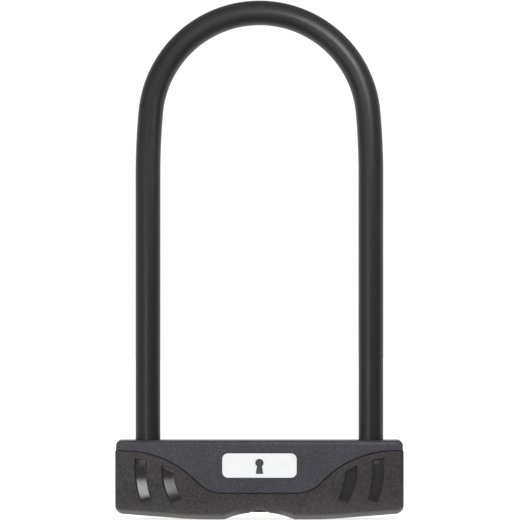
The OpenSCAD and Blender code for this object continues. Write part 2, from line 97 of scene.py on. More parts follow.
# keyhole sign: radius and lift of its head, half of the gap under it in degrees, its foot
SIGN_R, SIGN_LIFT, SIGN_NECK, SIGN_FOOT, SIGN_DROP = 2.3, 1.4, 37, 2.1, 4.6
SIGN_PROUD, SIGN_SINK, SIGN_EDGE = 0.07, 0.1, 0.06


def arc(cx, cz, r, a, b, n):
    """n steps along an arc from a to b degrees."""
    t = np.radians(np.linspace(a, b, n + 1))
    return np.stack([cx + r * np.cos(t), cz + r * np.sin(t)], 1)


def belly(z, d):
    """How far in front of the middle the skin lies at height z, d being the most."""
    r = np.where(z > BELLY_Z, BELLY_UP_R, BELLY_DOWN_R)
    return d - r + np.sqrt(r * r - (z - BELLY_Z) ** 2)


# ---------------------------------------------------------------- outlines
def seam_line(drop):
    """The seam from the right end to the left end."""
    run, fall = SEAM_X0 - SEAM_X1, SEAM_END - SEAM_MID
    low_r = (run * run + fall * fall) / (2 * fall) - SEAM_R
    a = 2 * math.degrees(math.atan(fall / run))
    right = np.concatenate([
        arc(SEAM_X0, SEAM_END - SEAM_R, SEAM_R, 90, 90 + a, 90),
        arc(SEAM_X1, SEAM_MID + low_r, low_r, 270 + a, 270, 44)[1:],
        [[x, SEAM_MID] for x in np.linspace(SEAM_X1, 0, 28)[1:]]])
    # a little off the curve square to itself, so that the gap has one width
    t = np.gradient(right, axis=0)
    t /= np.linalg.norm(t, axis=1)[:, None]
    n = np.stack([t[:, 1], -t[:, 0]], 1)
    n[n[:, 1] > 0] *= -1
    right = right + n * drop
    right[-1, 0] = 0
    left = right[-2::-1] * [-1, 1]
    return np.concatenate([right, left])


def near_seam(z, away):
    """Heights close to the seam, for the rows that its rounded edge needs."""
    th = np.radians([0, 18, 36, 54, 72, 90])
    return [z + away * SEAM_EDGE * (1 - math.cos(t)) for t in th] + [z + away * 0.55]


def hood_lines():
    seam = seam_line(0)
    ends = [[HOOD_W, z] for z in near_seam(SEAM_END, 1)]
    ends += [[HOOD_W, z] for z in np.linspace(SEAM_END + 0.9, TOP_Z - HOOD_CORNER, 5)[:-1]]
    corner = arc(HOOD_W - HOOD_CORNER, TOP_Z - HOOD_CORNER, HOOD_CORNER, 0, 90, 14)
    top = [[x, TOP_Z] for x in np.linspace(HOOD_W - HOOD_CORNER, 0, 100)[1:]]
    right = np.concatenate([ends, corner, top])
    return mirror_line(right), seam_with_ends(seam, HOOD_W, SEAM_END)


def seam_with_ends(seam, half_w, z):
    """The seam with a few points more on its way out to the cover's ends."""
    xs = [half_w - END_EDGE * 1.5, (half_w + SEAM_X0) / 2]
    right = [[x, z] for x in xs]
    left = [[-x, z] for x in xs[::-1]]
    return np.concatenate([right, seam, left])


def mirror_line(right):
    """A line that ends on the middle, followed by its mirror image."""
    right[-1, 0] = 0
    return np.concatenate([right, right[-2::-1] * [-1, 1]])


def tray_lines():
    z1 = SEAM_END - SEAM_GAP
    seam = seam_line(SEAM_GAP)
    arch_z = ARCH_RISE - ARCH_R
    lobe_x = math.sqrt((ARCH_R + LOBE_R) ** 2 - (LOBE_R - arch_z) ** 2)
    lobe_a = math.degrees(math.atan2(LOBE_R - arch_z, lobe_x))
    s = math.radians(SLOPE)
    bx, bz = LOBE_X + BEND_R * math.sin(s), BEND_R - BEND_R * math.cos(s)
    cx = TRAY_W - TRAY_CORNER
    cz = bz + (cx - bx) * math.tan(s) + TRAY_CORNER / math.cos(s)
    # where the flute for the key meets the arch
    fz = FLUTE_TOP - FLUTE_R
    fa = math.degrees(math.acos(FLUTE_X / FLUTE_R))
    aa = math.degrees(math.acos(FLUTE_X / ARCH_R))
    ends = [[TRAY_W, z] for z in near_seam(z1, -1)]
    ends += [[TRAY_W, z] for z in np.linspace(z1 - 1.1, cz, 36)[:-1]]
    slope = arc(LOBE_X, BEND_R, BEND_R, 270 + SLOPE, 270, 30)
    corner_end = [cx + TRAY_CORNER * math.sin(s), cz - TRAY_CORNER * math.cos(s)]
    run = np.linspace(0, 1, 44)[1:-1, None] * (slope[0] - corner_end) + corner_end
    right = np.concatenate([
        ends, arc(cx, cz, TRAY_CORNER, 0, -90 + SLOPE, 20), run, slope,
        [[x, 0] for x in np.linspace(LOBE_X, lobe_x, 7)[1:-1]],
        arc(lobe_x, LOBE_R, LOBE_R, 270, 180 + lobe_a, 8),
        arc(0, arch_z, ARCH_R, lobe_a, aa, 24)[1:],
        arc(0, fz, FLUTE_R, fa, 90, 12)[1:]])
    return mirror_line(right), seam_with_ends(seam, TRAY_W, z1)


# ---------------------------------------------------------------- distances
def nearest(p, line, closed=False):
    """Distance from points p to a polyline, with the segment and the share along it."""
    a = line
    b = np.roll(line, -1, 0) if closed else line[1:]
    a = a if closed else line[:-1]
    ab = b - a
    best = np.full(len(p), 1e9)
    seg = np.zeros(len(p), int)
    share = np.zeros(len(p))
    for lo in range(0, len(p), 2000):
        q = p[lo:lo + 2000, None, :]
        t = ((q - a) * ab).sum(2) / np.maximum((ab * ab).sum(1), 1e-12)
        t = t.clip(0, 1)
        d = np.linalg.norm(a + t[..., None] * ab - q, axis=2)
        i = d.argmin(1)
        k = np.arange(len(i))
        best[lo:lo + 2000], seg[lo:lo + 2000], share[lo:lo + 2000] = d[k, i], i, t[k, i]
    return best, seg, share


def inside(p, loop):
    """Which of the points p lie inside a closed loop."""
    x, z = p[:, 0, None], p[:, 1, None]
    a, b = loop, np.roll(loop, -1, 0)
    cross = (a[:, 1] > z) != (b[:, 1] > z)
    with np.errstate(divide="ignore", invalid="ignore"):
        at = a[:, 0] + (z - a[:, 1]) / (b[:, 1] - a[:, 1]) * (b[:, 0] - a[:, 0])
    return (cross & (x < at)).sum(1) % 2 == 1


def line_normals(line, loop):
    """Unit normals of a polyline that is part of a loop, on the side inside the loop."""
    t = np.gradient(line, axis=0)
    t /= np.maximum(np.linalg.norm(t, axis=1)[:, None], 1e-9)
    n = np.stack([-t[:, 1], t[:, 0]], 1)
    ok = inside(line + n * 0.02, loop)
    return -n if ok.sum() < len(ok) / 2 else n


def signed_area(loop):
    x, z = loop[:, 0], loop[:, 1]
    return 0.5 * (x * np.roll(z, -1) - np.roll(x, -1) * z).sum()


def loop_offset(loop, d):
    """A closed loop moved inwards by d, mitred at its corners."""
    a = loop - np.roll(loop, 1, 0)
    b = np.roll(loop, -1, 0) - loop
    a /= np.linalg.norm(a, axis=1)[:, None]
    b /= np.linalg.norm(b, axis=1)[:, None]
    s = 1 if signed_area(loop) > 0 else -1
    na = np.stack([-a[:, 1], a[:, 0]], 1) * s
    nb = np.stack([-b[:, 1], b[:, 0]], 1) * s
    m = na + nb
    m /= np.maximum((m * m).sum(1)[:, None] / 2, 0.3)
    return loop + m * d


def fillet(d, r):
    """How far a round edge of radius r falls back at distance d from it."""
    k = np.clip(r - d, 0, r)
    return r - np.sqrt(np.maximum(r * r - k * k, 0))


def round_steps(*angles):
    """The shares of its radius at which a round edge reaches these angles."""
    return [1 - math.cos(math.radians(a)) for a in angles]


# ---------------------------------------------------------------- recesses
class Recess:
    """A sunk panel in a face: a loop, and how deep its floor lies under the skin."""

    # distances inwards from the loop: the rows of points, and the wall with its share of the depth
    rows = (-0.5, -0.26, -0.16, -0.07, 0.0, 0.09, 0.15, 0.24, 0.36, 0.6)
    wall_at = (-0.26, -0.16, -0.07, 0.0, 0.09, 0.15, 0.24, 0.36)
    wall_share = (0, 0.02, 0.07, 0.17, 0.8, 0.92, 0.98, 1.0)

    def __init__(self, loop, floor, slot):
        self.loop, self.floor, self.slot = loop, floor, slot

    def signed(self, p):
        d, _, _ = nearest(p, self.loop, True)
        return np.where(inside(p, self.loop), d, -d)

    def depth(self, p):
        return np.interp(self.signed(p), self.wall_at, self.wall_share) * self.floor(p)


def grip_loop(side, r0, r1, low):
    """A band between two arcs, from the height low up to a line along the seam."""
    cx, cz = GRIP_AT
    seam = seam_line(0)

    def gap(a, r):
        p = np.array([[cx + r * math.cos(a), cz + r * math.sin(a)]])
        return nearest(p, seam)[0][0]

    def top(r):
        lo, hi = math.radians(-20), math.radians(60)
        best = lo
        for a in np.linspace(lo, hi, 200):
            if gap(a, r) < GRIP_MARGIN:
                break
            best = a
        lo, hi = best, best + math.radians(0.5)
        for _ in range(20):
            mid = (lo + hi) / 2
            lo, hi = (mid, hi) if gap(mid, r) > GRIP_MARGIN else (lo, mid)
        return lo

    def foot(r):
        return math.asin((low - cz) / r)

    def at(r, a):
        return [cx + r * math.cos(a), cz + r * math.sin(a)]

    pts = [at(r1, a) for a in np.linspace(foot(r1), top(r1), 40)]
    pts += [at(r, top(r)) for r in np.linspace(r1, r0, 12)[1:-1]]
    pts += [at(r0, a) for a in np.linspace(top(r0), foot(r0), 40)]
    pts += [at(r, foot(r)) for r in np.linspace(r0, r1, 12)[1:-1]]
    return np.array(pts) * [side, 1]


def grip_floor(r0, r1):
    """How deep a grip is sunk: its floor has a curve of its own and leans outwards."""
    mid = (r0 + r1) / 2

    def floor(p):
        skin = belly(p[:, 1], TRAY_D)
        along = np.hypot(np.abs(p[:, 0]) - GRIP_AT[0], p[:, 1] - GRIP_AT[1]) - mid
        curve = (p[:, 1] - GRIP_FLOOR_Z) ** 2 / (2 * GRIP_FLOOR_R)
        bed = TRAY_D - GRIP_SINK - curve - GRIP_TILT * along
        return np.clip(skin - bed, GRIP_LEAST, GRIP_MOST)

    return floor


def round_rect(a, b, r, cz):
    """A rounded rectangle of half width a and half height b, its middle at height cz."""
    pts = []
    for sx, sz, start in ((1, -1, -90), (1, 1, 0), (-1, 1, 90), (-1, -1, 180)):
        pts.append(arc(sx * (a - r), cz + sz * (b - r), r, start, start + 90, 9))
    return short_steps(np.concatenate(pts), 0.8)


def short_steps(loop, step):
    """A closed loop with points added along its straight sides."""
    out = []
    for i, p in enumerate(loop):
        q = loop[(i + 1) % len(loop)]
        n = max(1, int(np.linalg.norm(q - p) / step))
        out += [p + (q - p) * k / n for k in range(n)]
    return np.array(out)


# ---------------------------------------------------------------- a cover
def triangulate(loop, extra):
    """A flat sheet inside loop, through the points extra: its vertices, its triangles, and
    the indices of the loop's own points."""
    pts = [Vector(p) for p in loop] + [Vector(p) for p in extra]
    n = len(loop)
    verts, _, faces, origin, _, _ = delaunay_2d_cdt(
        pts, [(i, (i + 1) % n) for i in range(n)], [], 0, 1e-6)
    v = np.array([tuple(p) for p in verts])
    f = np.array([list(t) for t in faces])
    f = f[inside(v[f].mean(1), loop)]
    used = np.unique(f)
    where = {}
    for k, ids in enumerate(origin):
        for i in ids:
            if i < n:
                where[i] = k
    rim = np.array([where[i] for i in range(n)])
    used = np.unique(np.concatenate([used, rim]))
    back = np.full(len(v), -1)
    back[used] = np.arange(len(used))
    a, b, c = v[f[:, 0]], v[f[:, 1]], v[f[:, 2]]
    u, w = b - a, c - a
    turn = u[:, 0] * w[:, 1] - u[:, 1] * w[:, 0]
    f[turn < 0] = f[turn < 0][:, ::-1]
    return v[used], back[f], back[rim]


def row_points(line, normals, radius, steps):
    return np.concatenate([line + normals * (radius * s)[:, None] for s in steps])


def cover(name, lines, depth, radius_of, front, rear):
    """A closed moulding: a front sheet, a rim and a rear sheet. lines is (outline, seam)."""
    outline, seam = lines
    loop = np.concatenate([outline, seam[::-1]])
    n_out = line_normals(outline, loop)
    r_out = radius_of(n_out)
    n_seam = line_normals(seam, loop)
    arcs = round_steps(10, 22, 35, 48, 61, 75, 90) + [1.35]
    rows = [row_points(outline, n_out, r_out, arcs)]
    mid = np.abs(seam[:, 0]) < outline[:, 0].max() - END_EDGE * 1.4
    small = round_steps(18, 36, 54, 72, 90) + [1.8]
    rows.append(row_points(seam[mid], n_seam[mid], np.full(mid.sum(), SEAM_EDGE), small))
    rows = np.concatenate(rows)
    rows = rows[inside(rows, loop) & (nearest(rows, loop, True)[0] > 0.008)]

    def build(recesses, sign):
        """One sheet, sign being 1 for the front and -1 for the rear."""
        extra = [rows]
        for r in recesses:
            extra += [loop_offset(r.loop, d) for d in r.rows]
        step = 1.3  # of the plain grid between the rows
        gx, gz = np.meshgrid(np.arange(-80, 80, step), np.arange(0, 45, step))
        gx = gx + (np.arange(gx.shape[0])[:, None] % 2) * step / 2
        grid = np.stack([gx.ravel(), gz.ravel()], 1)
        grid = grid[inside(grid, loop)]
        far = (nearest(grid, outline)[0] > 3.4) & (nearest(grid, seam)[0] > 1.1)
        for r in recesses:
            far &= np.abs(r.signed(grid)) > 0.95
        extra.append(grid[far])
        v, f, rim = triangulate(loop, np.concatenate(extra))
        d, s, t = nearest(v, outline)
        after = np.minimum(s + 1, len(r_out) - 1)
        r = r_out[s] * (1 - t) + r_out[after] * t
        n = n_out[s] * (1 - t)[:, None] + n_out[after] * t[:, None]
        y = belly(v[:, 1], depth) - fillet(d, r)
        tag = np.zeros(len(f), int)
        for q in recesses:
            y -= q.depth(v)
            tag[q.signed(v[f].mean(1)) > 0.12] = q.slot
        cos = np.clip(1 - d / r, 0, 1)
        sin = np.sqrt(1 - cos * cos)
        back = fillet(nearest(v, seam)[0], SEAM_EDGE)
        xz = v + n * (cos * back)[:, None]
        y = y - sin * back
        p = np.stack([xz[:, 0], -sign * y, xz[:, 1]], 1)
        return p, f, rim, tag

    pf, ff, rf, tf = build(front, 1)
    pb, fb, rb, tb = build(rear, -1)
    n = len(pf)
    verts = np.concatenate([pf, pb]) * MM
    faces = [tuple(t) for t in ff] + [tuple(t[::-1]) for t in fb + n]
    tags = list(tf) + list(tb)
    m = len(rf)
    ccw = signed_area(loop) > 0
    for i in range(m):
        j = (i + 1) % m
        q = (rf[i], rb[i] + n, rb[j] + n, rf[j])
        faces.append(q if ccw else q[::-1])
        tags.append(0)
    return mesh_object(name, verts, faces, tags)


def mesh_object(name, verts, faces, tags=None):
    """An object of these faces, tags being the material index of each."""
    me = bpy.data.meshes.new(name)
    me.from_pydata([tuple(map(float, v)) for v in verts], [], [tuple(map(int, f)) for f in faces])
    me.validate()
    if tags is not None:
        me.polygons.foreach_set("material_index", tags)
    bm = bmesh.new()
    bm.from_mesh(me)
    bmesh.ops.recalc_face_normals(bm, faces=bm.faces)
    bm.to_mesh(me)
    bm.free()
    o = bpy.data.objects.new(name, me)
    bpy.context.scene.collection.objects.link(o)
    return o


def lathe_cutter(profile, cx=0, n=72):
    """A turned solid on an upright axis at x = cx, from a closed profile of (r, z)."""
    verts, faces = [], []
    m = len(profile)
    for i in range(n):
        a = 2 * math.pi * i / n
        verts += [((cx + r * math.cos(a)) * MM, r * math.sin(a) * MM, z * MM) for r, z in profile]
    for i in range(n):
        for k in range(m):
            a, b = i * m + k, i * m + (k + 1) % m
            c, d = ((i + 1) % n) * m + (k + 1) % m, ((i + 1) % n) * m + k
            faces.append((a, b, c, d))
    o = mesh_object("cutter", verts, faces)
    bm = bmesh.new()
    bm.from_mesh(o.data)
    bmesh.ops.remove_doubles(bm, verts=bm.verts, dist=1e-7)
    bmesh.ops.recalc_face_normals(bm, faces=bm.faces)
    bm.to_mesh(o.data)
    bm.free()
    return o


def box_cutter(lo, hi):
    x0, y0, z0 = (v * MM for v in lo)
    x1, y1, z1 = (v * MM for v in hi)
    v = [(x, y, z) for x in (x0, x1) for y in (y0, y1) for z in (z0, z1)]
    f = [(0, 1, 3, 2), (4, 6, 7, 5), (0, 4, 5, 1), (2, 3, 7, 6), (0, 2, 6, 4), (1, 5, 7, 3)]
    return mesh_object("cutter", v, f)


def cut(o, cutters):
    """Takes the cutters out of an object, and removes them."""
    for c in cutters:
        m = o.modifiers.new("cut", "BOOLEAN")
        m.operation, m.object, m.solver = "DIFFERENCE", c, "EXACT"
        settle(o)
        bpy.data.objects.remove(c)


def settle(o):
    """Applies an object's modifiers."""
    dg = bpy.context.evaluated_depsgraph_get()
    shaped = o.evaluated_get(dg)
    me = bpy.data.meshes.new_from_object(shaped, preserve_all_data_layers=True, depsgraph=dg)
    o.modifiers.clear()
    old = o.data
    o.data = me
    me.name = old.name
    bpy.data.meshes.remove(old)


def shade(o, angle=32):
    """Smooth shading, with sharp edges past this angle in degrees."""
    me = o.data
    me.polygons.foreach_set("use_smooth", [True] * len(me.polygons))
    me.set_sharp_from_angle(angle=math.radians(angle))


# ---------------------------------------------------------------- materials
class Mat:
    """A Principled material under construction, in object coordinates."""

    def __init__(self, name):
        self.m = bpy.data.materials.new(name)
        self.m.use_nodes = True
        self.nt = self.m.node_tree
        self.bsdf = self.nt.nodes["Principled BSDF"]
        self.pos = self.nt.nodes.new("ShaderNodeTexCoord").outputs["Object"]

    def set(self, **kw):
        for k, v in kw.items():
            self.bsdf.inputs[k.replace("_", " ")].default_value = v
        return self

    def noise(self, scale, detail=2.0, rough=0.5, stretch=None):
        n = self.nt.nodes.new("ShaderNodeTexNoise")
        n.inputs["Scale"].default_value = scale
        n.inputs["Detail"].default_value = detail
        n.inputs["Roughness"].default_value = rough
        src = self.pos
        if stretch:
            mp = self.nt.nodes.new("ShaderNodeMapping")
            mp.inputs["Scale"].default_value = stretch
            self.nt.links.new(src, mp.inputs["Vector"])
            src = mp.outputs["Vector"]
        self.nt.links.new(src, n.inputs["Vector"])
        return n.outputs["Fac"]

    def voronoi(self, scale):
        n = self.nt.nodes.new("ShaderNodeTexVoronoi")
        n.inputs["Scale"].default_value = scale
        self.nt.links.new(self.pos, n.inputs["Vector"])
        return n.outputs["Distance"]

    def ramp(self, fac, stops):
        n = self.nt.nodes.new("ShaderNodeValToRGB")
        r = n.color_ramp
        while len(r.elements) < len(stops):
            r.elements.new(0.5)
        for e, (p, c) in zip(r.elements, stops):
            e.position = p
            e.color = (*c, 1)
        self.nt.links.new(fac, n.inputs["Fac"])
        return n.outputs["Color"]

    def math(self, op, a, b):
        n = self.nt.nodes.new("ShaderNodeMath")
        n.operation = op
        for i, v in enumerate((a, b)):
            if isinstance(v, (int, float)):
                n.inputs[i].default_value = v
            else:
                self.nt.links.new(v, n.inputs[i])
        return n.outputs[0]

    def span(self, fac, lo, hi, a=0.0, b=1.0):
        n = self.nt.nodes.new("ShaderNodeMapRange")
        for k, v in (("From Min", lo), ("From Max", hi), ("To Min", a), ("To Max", b)):
            n.inputs[k].default_value = v
        self.nt.links.new(fac, n.inputs["Value"])
        return n.outputs["Result"]

    def mix(self, fac, a, b):
        n = self.nt.nodes.new("ShaderNodeMix")
        n.data_type = "RGBA"
        self.nt.links.new(fac, n.inputs["Factor"])
        for k, v in (("A", a), ("B", b)):
            if isinstance(v, tuple):
                n.inputs[k].default_value = (*v, 1)
            else:
                self.nt.links.new(v, n.inputs[k])
        return n.outputs["Result"]

    def axis(self, source, name):
        """One component of a vector socket."""
        xyz = self.nt.nodes.new("ShaderNodeSeparateXYZ")
        self.nt.links.new(source, xyz.inputs[0])
        return xyz.outputs[name]

    def facing_down(self):
        """The normal's height: 0 on upright faces, and -1 on those that look straight down."""
        return self.axis(self.nt.nodes.new("ShaderNodeTexCoord").outputs["Normal"], "Z")

    def link(self, out, name):
        self.nt.links.new(out, self.bsdf.inputs[name])
        return self

    def bump(self, heights):
        """heights is a list of (height socket, strength, distance in millimetres)."""
        last = None
        for h, strength, dist in heights:
            n = self.nt.nodes.new("ShaderNodeBump")
            n.inputs["Strength"].default_value = strength
            n.inputs["Distance"].default_value = dist * MM
            self.nt.links.new(h, n.inputs["Height"])
            if last:
                self.nt.links.new(last, n.inputs["Normal"])
            last = n.outputs["Normal"]
        self.nt.links.new(last, self.bsdf.inputs["Normal"])
        return self


def moulded(name, dark, light, rough, speck, grain=2600, painted_floor_light_tone=None):
    """Spark-eroded mould texture: a fine pebble, with a broad cloud of tone and gloss.
    Faces that look down can get a lighter tone: painted light, standing in for the bright floor's
    reflection on the lower edges."""
    m = Mat(name)
    pebble = m.noise(grain, 3, 0.6)
    mottle = m.noise(950, 2, 0.6)
    cloud = m.noise(38, 3, 0.55)
    fleck = m.math("ADD", m.math("MULTIPLY", pebble, 0.3), m.math("MULTIPLY", mottle, 0.7))
    mix = m.math("ADD", m.math("MULTIPLY", fleck, speck), m.math("MULTIPLY", cloud, 1 - speck))
    tone = m.ramp(mix, [(0.40, dark), (0.60, light)])
    if painted_floor_light_tone:
        # painted light: down-facing edges away from the middle get a lighter tone that stands in for
        # the bright floor's reflection
        down = m.facing_down()
        floor_light_mask = m.math("MULTIPLY", m.span(down, -0.34, -0.60), m.span(down, -0.985, -0.93))
        outer = m.span(m.math("ABSOLUTE", m.axis(m.pos, "X"), 0), 0.009, 0.014)
        tone = m.mix(m.math("MULTIPLY", floor_light_mask, outer), tone, painted_floor_light_tone)
    m.link(tone, "Base Color")
    m.link(m.span(cloud, 0.3, 0.7, rough - 0.035, rough + 0.035), "Roughness")
    m.bump([(m.voronoi(grain * 0.55), 0.30, 0.05), (mottle, 0.30, 0.08), (pebble, 0.35, 0.05)])
    return m.m


def polished(name, colour):
    m = Mat(name)
    haze = m.noise(260, 4, 0.6)
    m.link(m.mix(m.span(haze, 0.35, 0.7), tuple(c * 0.75 for c in colour), colour), "Base Color")
    m.link(m.span(haze, 0.3, 0.75, 0.08, 0.13), "Roughness")
    m.bump([(m.noise(900, 2, 0.5), 0.03, 0.02)])
    return m.set(Specular_IOR_Level=0.55).m


def vinyl(name):
    m = Mat(name)
    cloud = m.noise(22, 3, 0.5)
    fine = m.noise(1500, 3, 0.6)
    streak = m.noise(420, 2, 0.5, (1, 1, 0.05))
    tone = m.mix(m.span(cloud, 0.35, 0.65), (0.008, 0.0075, 0.008), (0.012, 0.011, 0.0115))
    m.link(tone, "Base Color")
    rough = m.math("ADD", m.span(cloud, 0.3, 0.7, 0.36, 0.42), m.span(streak, 0.4, 0.7, 0, 0.04))
    m.link(rough, "Roughness")
    m.bump([(fine, 0.12, 0.03), (m.noise(160, 2, 0.5), 0.03, 0.06)])
    return m.set(Specular_IOR_Level=0.44).m


def steel(name, dark, light, rough, stretch=(1, 1, 0.06), scale=900):
    m = Mat(name)
    line = m.noise(scale, 3, 0.6, stretch)
    cloud = m.noise(60, 3, 0.5)
    m.link(m.mix(m.span(m.math("ADD", line, cloud), 0.7, 1.3), dark, light), "Base Color")
    m.link(m.span(line, 0.3, 0.7, rough - 0.05, rough + 0.08), "Roughness")
    m.bump([(line, 0.1, 0.02)])
    return m.set(Metallic=1.0).m


def rubber(name):
    m = Mat(name)
    fine = m.noise(1800, 3, 0.6)
    m.link(m.mix(m.span(fine, 0.3, 0.7), (0.012, 0.012, 0.012), (0.02, 0.02, 0.02)), "Base Color")
    m.link(m.span(fine, 0.3, 0.7, 0.6, 0.75), "Roughness")
    m.bump([(fine, 0.2, 0.03)])
    return m.m


def lacquer(name):
    m = Mat(name)
    cloud = m.noise(120, 3, 0.5)
    tone = m.mix(m.span(cloud, 0.35, 0.65), (0.925, 0.925, 0.94), (0.945, 0.945, 0.955))
    m.link(tone, "Base Color")
    m.link(m.span(cloud, 0.3, 0.7, 0.28, 0.36), "Roughness")
    m.bump([(m.noise(700, 2, 0.5), 0.03, 0.02)])
    return m.m


def nylon(name):
    m = Mat(name)
    cloud = m.noise(90, 3, 0.5)
    m.link(m.mix(m.span(cloud, 0.35, 0.65), (0.62, 0.60, 0.53), (0.70, 0.68, 0.61)), "Base Color")
    m.link(m.span(cloud, 0.3, 0.7, 0.42, 0.52), "Roughness")
    m.bump([(m.noise(1400, 2, 0.5), 0.08, 0.03)])
    return m.m


GREY = moulded("cover_grey", (0.018, 0.017, 0.024), (0.050, 0.048, 0.062), 0.48, 0.82)
# the last colour is painted light: a lighter tone on the down-facing edges, standing in for the
# floor's reflection
BLACK = moulded("cover_black", (0.005, 0.0036, 0.0040), (0.040, 0.0325, 0.035), 0.48, 0.86, 2300,
                (0.085, 0.080, 0.079))
GLOSS = polished("grip_gloss", (0.016, 0.015, 0.016))
VINYL = vinyl("vinyl_coat")
WHITE = lacquer("badge_white")
SIGN = moulded("badge_sign", (0.045, 0.045, 0.052), (0.060, 0.060, 0.068), 0.4, 0.3)
RUBBER = rubber("seal_rubber")
NYLON = nylon("guide_nylon")
HARD = steel("hardened_steel", (0.20, 0.20, 0.21), (0.33, 0.33, 0.34), 0.34)
# painted shade: the case tube is made dark so that the seam gap in front of it reads as a shaded
# slot
CASE_DARKENED_AS_SHADE = steel("case_steel", (0.045, 0.045, 0.048), (0.075, 0.075, 0.078), 0.42, (0.06, 1, 1))
DARK = steel("dark_steel", (0.010, 0.010, 0.011), (0.022, 0.022, 0.024), 0.5, (1, 1, 1), 500)
BRIGHT = steel("bright_steel", (0.55, 0.55, 0.55), (0.68, 0.68, 0.68), 0.24)
BRASS = steel("brass", (0.42, 0.31, 0.12), (0.56, 0.43, 0.19), 0.28, (1, 1, 0.1))
SLOT_MATERIAL = {
    "hardened_steel": HARD, "case_steel": CASE_DARKENED_AS_SHADE, "dark_steel": DARK, "bright_steel": BRIGHT,
    "brass_metal": BRASS, "coat": VINYL, "cover_grey": GREY, "cover_black": BLACK,
    "badge_plastic": WHITE, "seal_rubber": RUBBER, "guide_plastic": NYLON,
}
for part in frame["record"]["subparts"]:
    me = frame["nodes"][part["node"]].data
    me.materials.clear()
    me.materials.append(SLOT_MATERIAL[part["material_slot"]])


# ---------------------------------------------------------------- covers
def hood_radius(n):
    """The outline's edge radius from its inward normals n: larger along the top."""
    up = np.clip(-n[:, 1], 0, 1)
    return END_EDGE + (TOP_EDGE - END_EDGE) * up ** 1.5


def tray_radius(n):
    """The same, larger along the underside."""
    down = np.clip(n[:, 1], 0, 1)
    return END_EDGE + (BASE_EDGE - END_EDGE) * down ** 1.5


badge_hole = Recess(round_rect(*(v + BADGE_GAP for v in BADGE[:3]), BADGE[3]),
                    lambda p: np.full(len(p), BADGE_POCKET), 0)
hood = cover("upper_shell", hood_lines(), HOOD_D, hood_radius, [badge_hole], [])
hole = COAT_R + LEG_HOLE_GAP
flare = [(hole + out, TOP_Z + up) for out, up in LEG_HOLE_FLARE]
flare = [(0, 20), (hole, 20), *flare, (flare[-1][0], TOP_Z + 1), (0, TOP_Z + 1)]
cut(hood, [box_cutter((-ROOM_X, -ROOM_Y, -5), (ROOM_X, ROOM_Y, ROOM_ROOF)),
           lathe_cutter(flare, -LEG_X), lathe_cutter(flare, LEG_X)])
shade(hood)
hood.data.materials.clear()
hood.data.materials.append(GREY)
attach(hood, "cross_bar")
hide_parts("upper_cover")

grips = [Recess(grip_loop(side, *g), grip_floor(g[0], g[1]), 1) for side in (-1, 1) for g in GRIPS]
tray = cover("lower_shell", tray_lines(), TRAY_D, tray_radius, grips, grips)
for m in (BLACK, GLOSS):
    tray.data.materials.append(m)
cut(tray, [box_cutter((-ROOM_X, -ROOM_Y, ROOM_FLOOR), (ROOM_X, ROOM_Y, 60)),
           lathe_cutter([(0, -2), (CYLINDER_HOLE_R, -2), (CYLINDER_HOLE_R, 12), (0, 12)])])
shade(tray)
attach(tray, "cross_bar")
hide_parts("lower_cover")


# ---------------------------------------------------------------- badge
def plate(name, loop, skin, proud, sink, edge):
    """A thin plate on the curved front: its face stands proud of the skin, with a round edge,
    and its back is sunk into it."""
    steps = round_steps(15, 32, 50, 70, 90) + [2.0]
    extra = [loop_offset(loop, edge * s) for s in steps]
    span = loop.max(0) - loop.min(0)
    step = min(1.0, span.min() / 8)
    gx, gz = np.meshgrid(np.arange(loop[:, 0].min(), loop[:, 0].max(), step),
                         np.arange(loop[:, 1].min(), loop[:, 1].max(), step))
    grid = np.stack([gx.ravel(), gz.ravel()], 1)
    grid = grid[inside(grid, loop)]
    grid = grid[nearest(grid, loop, True)[0] > edge * 2 + step * 0.6]
    v, f, rim = triangulate(loop, np.concatenate(extra + [grid]))
    d = nearest(v, loop, True)[0]
    y = belly(v[:, 1], skin) + proud - fillet(d, edge)
    n = len(v)
    front = np.stack([v[:, 0], -y, v[:, 1]], 1)
    rear = np.stack([v[:, 0], -(belly(v[:, 1], skin) - sink), v[:, 1]], 1)
    faces = [tuple(t) for t in f] + [tuple(t[::-1]) for t in f + n]
    m = len(rim)
    faces += [(rim[i], rim[i] + n, rim[(i + 1) % m] + n, rim[(i + 1) % m]) for i in range(m)]
    o = mesh_object(name, np.concatenate([front, rear]) * MM, faces)
    shade(o, 40)
    return o


badge = plate("badge_plate", round_rect(*BADGE), HOOD_D, BADGE_PROUD, BADGE_SINK, BADGE_EDGE)
badge.data.materials.append(WHITE)
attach(badge, "cross_bar")
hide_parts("badge")


def keyhole_loop(cz):
    """A round head over a foot that widens downwards."""
    head = arc(0, cz + SIGN_LIFT, SIGN_R, -90 + SIGN_NECK, 270 - SIGN_NECK, 30)
    foot = [[-SIGN_FOOT, cz - SIGN_DROP], [SIGN_FOOT, cz - SIGN_DROP]]
    return short_steps(np.concatenate([head, foot]), 0.35)


sign = plate("badge_keyhole", keyhole_loop(BADGE[3]), HOOD_D + BADGE_PROUD,
             SIGN_PROUD, SIGN_SINK, SIGN_EDGE)
sign.data.materials.append(SIGN)
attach(sign, "cross_bar")


